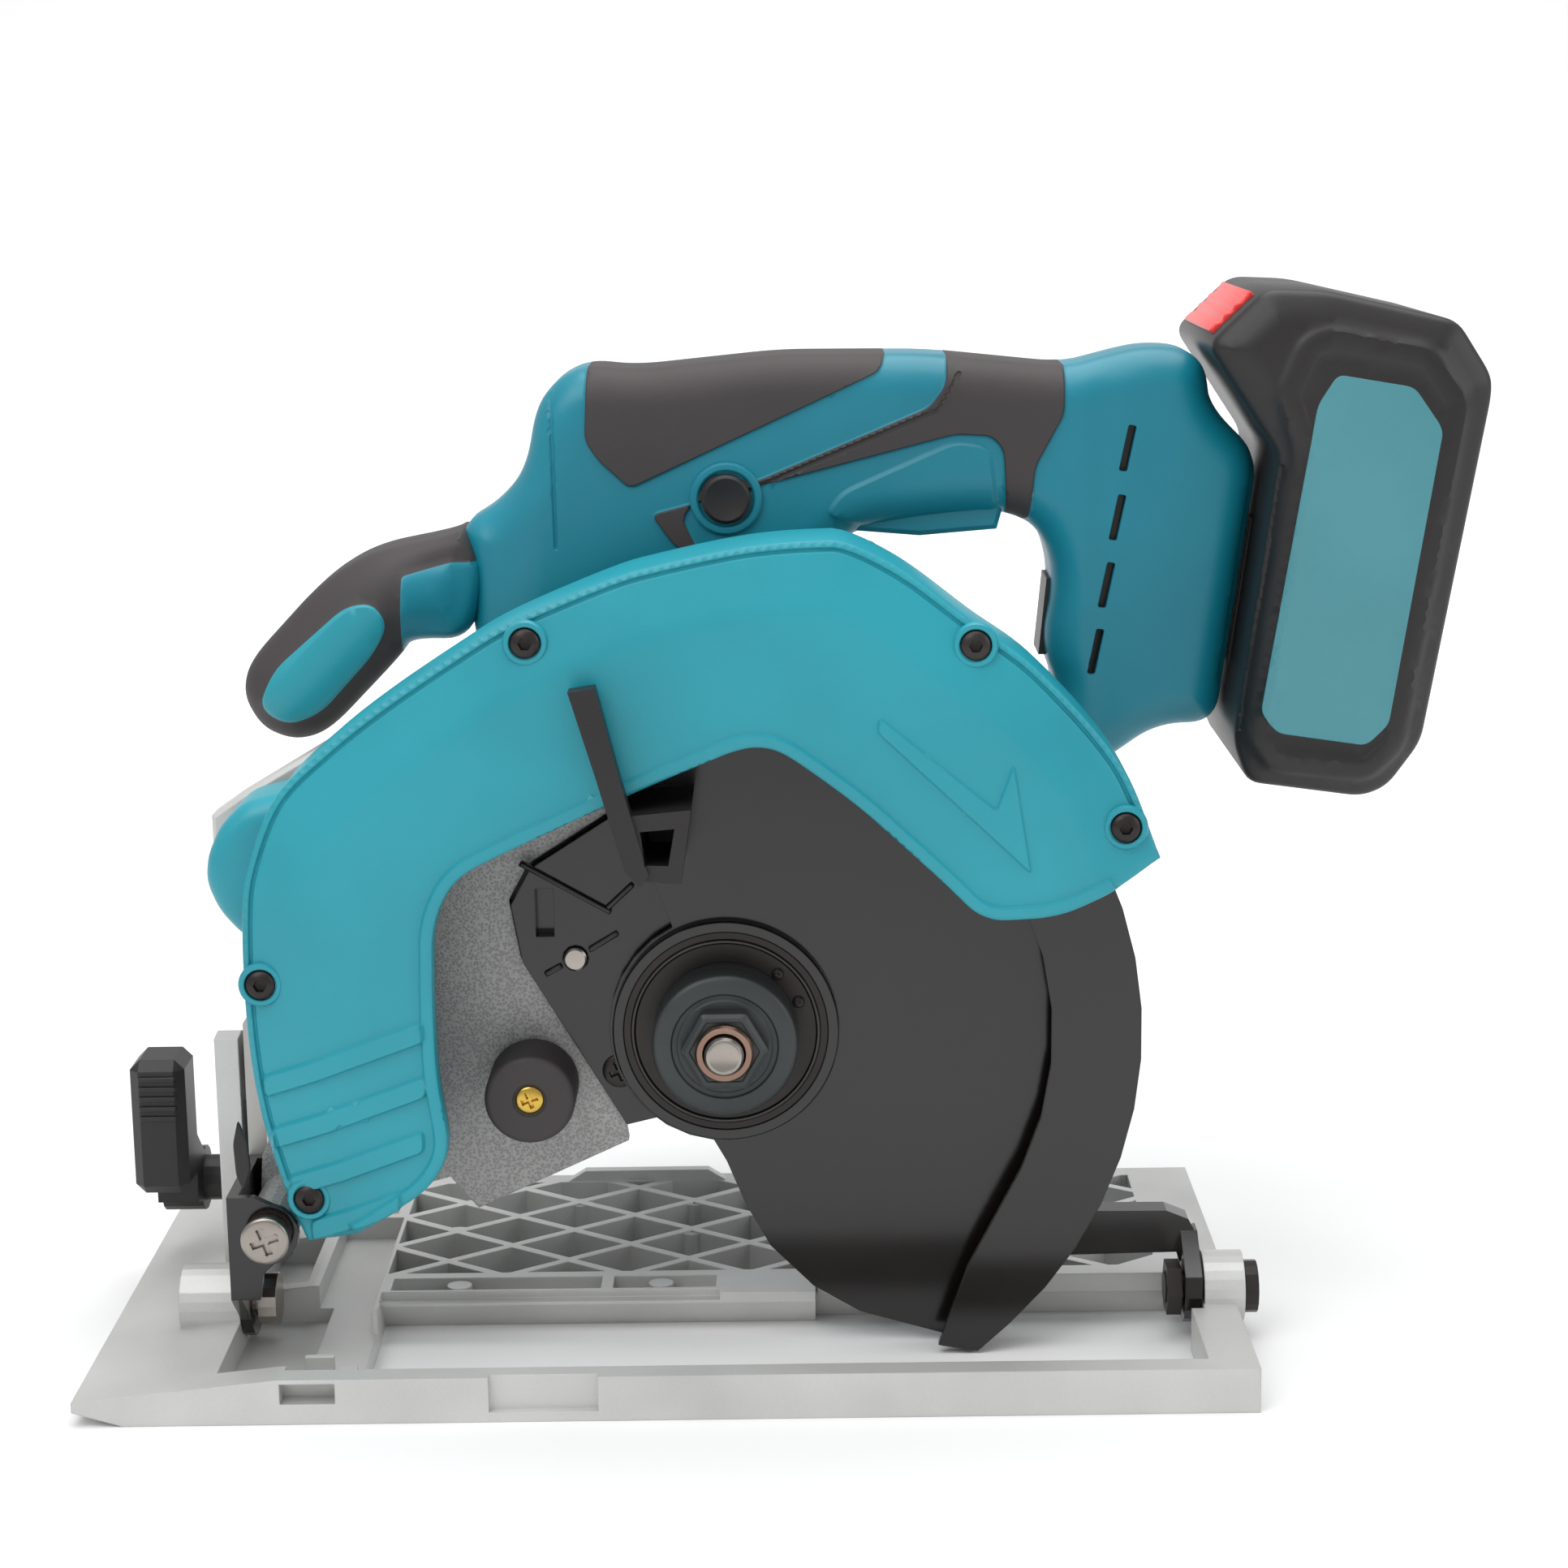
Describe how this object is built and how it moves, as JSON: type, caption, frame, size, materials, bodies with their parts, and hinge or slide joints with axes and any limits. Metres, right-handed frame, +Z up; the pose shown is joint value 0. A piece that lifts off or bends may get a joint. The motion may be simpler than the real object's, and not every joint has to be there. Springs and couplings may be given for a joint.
{
  "type": "circular saw",
  "caption": "Cordless circular saw with a teal upper guard, dark swinging lower guard, tilting cast base, twin handles and a slide-on battery; no blade fitted",
  "frame": {"origin": "middle of the bounding box in plan, on the sole", "axes": "+X from the front of the saw to the battery, +Y from the blade side to the motor side, +Z up"},
  "size_m": [0.3382, 0.172, 0.2575],
  "materials": {
    "teal_plastic": "moulded",
    "dark_teal_plastic": "moulded",
    "black_rubber": "soft",
    "black_plastic": "moulded",
    "black_gloss": "glossy",
    "cast_alloy": "die cast",
    "sand_alloy": "sparkling sand texture",
    "steel": "turned",
    "brass": "plated",
    "copper": "wound",
    "red_plastic": "moulded",
    "green_board": "board"
  },
  "bodies": {
    "base": {"base_plate": "cast_alloy", "bevel_quadrant": "cast_alloy", "front_bevel_pin": "steel", "rear_bevel_bolt": "steel", "rear_bevel_nut": "black_plastic"},
    "tilt_frame": {"tilt_bracket": "black_gloss", "tilt_plate": "cast_alloy", "rear_arm": "black_gloss", "depth_guide": "steel", "depth_pivot_bolt": "steel", "bevel_clamp_bolt": "steel"},
    "saw_body": {"guard_cover": "teal_plastic", "cover_screw_1": "black_plastic", "cover_screw_2": "black_plastic", "cover_screw_3": "black_plastic", "cover_screw_4": "black_plastic", "cover_screw_5": "black_plastic", "blade_case": "sand_alloy", "gear_housing": "black_plastic", "bearing_retainer": "black_plastic", "spindle_bearing_front": "steel", "spindle_bearing_rear": "steel", "rubber_stopper": "black_rubber", "stopper_screw": "brass", "motor_housing": "dark_teal_plastic", "motor_end_cap": "black_plastic", "motor_stator": "copper", "housing_near": "dark_teal_plastic", "housing_far": "dark_teal_plastic", "top_grip_near": "black_rubber", "side_grip_near": "black_rubber", "top_grip_far": "black_rubber", "side_grip_far": "black_rubber", "front_handle_core": "dark_teal_plastic", "front_handle_near": "black_rubber", "front_handle_far": "black_rubber", "switch_body": "black_plastic", "controller_board": "green_board", "terminal_block": "black_plastic", "front_lobe": "teal_plastic", "front_casting": "cast_alloy", "guide_clamp_bolt": "steel"},
    "bevel_lock_lever": {"bevel_lever": "black_plastic"},
    "depth_lock_lever": {"depth_lever": "black_plastic"},
    "blade_drive": {"spindle": "steel", "inner_flange": "steel", "outer_flange": "black_plastic", "blade_bolt": "steel", "drive_gear": "steel"},
    "lower_guard_body": {"lower_guard": "black_gloss", "guard_lever": "black_plastic"},
    "rotor": {"motor_rotor": "copper", "pinion": "steel", "cooling_fan": "black_plastic"},
    "trigger_body": {"trigger": "dark_teal_plastic"},
    "lock_off": {"lock_off_button": "black_plastic"},
    "mode_switch": {"mode_button": "black_plastic"},
    "shaft_lock": {"shaft_lock_button": "black_plastic"},
    "battery": {"battery_pack": "black_plastic"},
    "battery_release": {"battery_latch": "red_plastic"}
  },
  "joints": [
    {"name": "bevel", "type": "hinge", "parent": "base", "child": "tilt_frame", "pos_m": [-0.0201, -0.036, 0.0125], "axis": [1, 0, 0], "range_deg": [0, 45]},
    {"name": "bevel_lock", "type": "hinge", "parent": "tilt_frame", "child": "bevel_lock_lever", "pos_m": [-0.1541, 0.01674, 0.02663], "axis": [-1, 0, 0], "range_deg": [0, 60]},
    {"name": "depth", "type": "hinge", "parent": "tilt_frame", "child": "saw_body", "pos_m": [-0.1261, -0.036, 0.0365], "axis": [0, 1, 0], "range_deg": [-6, 21.5]},
    {"name": "depth_lock", "type": "hinge", "parent": "saw_body", "child": "depth_lock_lever", "pos_m": [0.0325, -0.02, 0.11046], "axis": [0, -1, 0], "range_deg": [0, 50]},
    {"name": "guard_swing", "type": "hinge", "parent": "saw_body", "child": "lower_guard_body", "pos_m": [-0.0151, -0.036, 0.0813], "axis": [0, -1, 0], "range_deg": [-60, 66]},
    {"name": "blade_spin", "type": "hinge", "parent": "saw_body", "child": "blade_drive", "pos_m": [-0.0151, -0.036, 0.0813], "axis": [0, -1, 0], "continuous": true},
    {"name": "motor_spin", "type": "hinge", "parent": "saw_body", "child": "rotor", "pos_m": [-0.0201, 0.014, 0.107], "axis": [0, -1, 0], "continuous": true},
    {"name": "trigger_pull", "type": "hinge", "parent": "saw_body", "child": "trigger_body", "pos_m": [0.0099, 0.004, 0.207], "axis": [0, -1, 0], "range_deg": [0, 6], "stiffness_Nm_per_rad": 0.8},
    {"name": "lock_off_press", "type": "slide", "parent": "saw_body", "child": "lock_off", "axis": [0, 1, 0], "range_m": [0, 0.004], "stiffness_N_per_m": 300},
    {"name": "mode_press", "type": "slide", "parent": "saw_body", "child": "mode_switch", "axis": [0.9863, 0, -0.165], "range_m": [0, 0.001], "stiffness_N_per_m": 400},
    {"name": "shaft_lock_press", "type": "slide", "parent": "saw_body", "child": "shaft_lock", "axis": [0, 1, 0], "range_m": [0, 0.003], "stiffness_N_per_m": 300},
    {"name": "battery_slide", "type": "slide", "parent": "saw_body", "child": "battery", "axis": [0.165, 0, 0.9863], "range_m": [0, 0.08]},
    {"name": "battery_release_press", "type": "slide", "parent": "battery", "child": "battery_release", "axis": [0.6879, 0, -0.7258], "range_m": [0, 0.0022], "stiffness_N_per_m": 400}
  ],
  "couplings": [
    {"joint": "motor_spin", "follows": "blade_spin", "ratio": -5}
  ]
}
